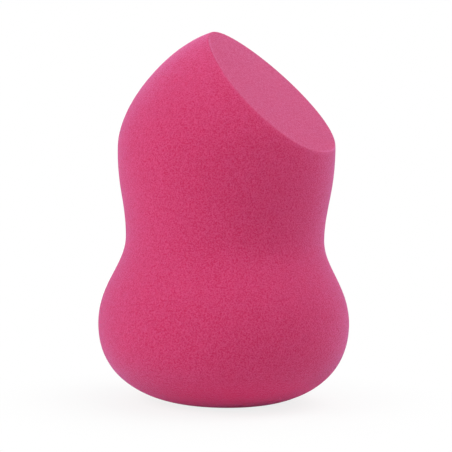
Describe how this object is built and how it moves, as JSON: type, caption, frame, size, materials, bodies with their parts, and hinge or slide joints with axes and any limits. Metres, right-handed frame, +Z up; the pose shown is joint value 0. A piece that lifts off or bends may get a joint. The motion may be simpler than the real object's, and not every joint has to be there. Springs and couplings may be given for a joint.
{
  "type": "makeup sponge",
  "caption": "Gourd-shaped foam makeup sponge with a round base lobe, a drawn-in waist, a slimmer crown lobe and a flat slanted cut face. It stands on a small flat foot.",
  "frame": {"origin": "on the sponge's axis, at the middle of the flat foot that it stands on", "axes": "+Z up the axis from the foot to the crown; +X towards the side that the slanted cut face looks to, with its low edge furthest along +X; the XZ plane halves the sponge"},
  "size_m": [0.04, 0.04, 0.0589],
  "materials": {
    "foam": "matte"
  },
  "bodies": {
    "root": {"foam_body": "foam"}
  },
  "joints": []
}
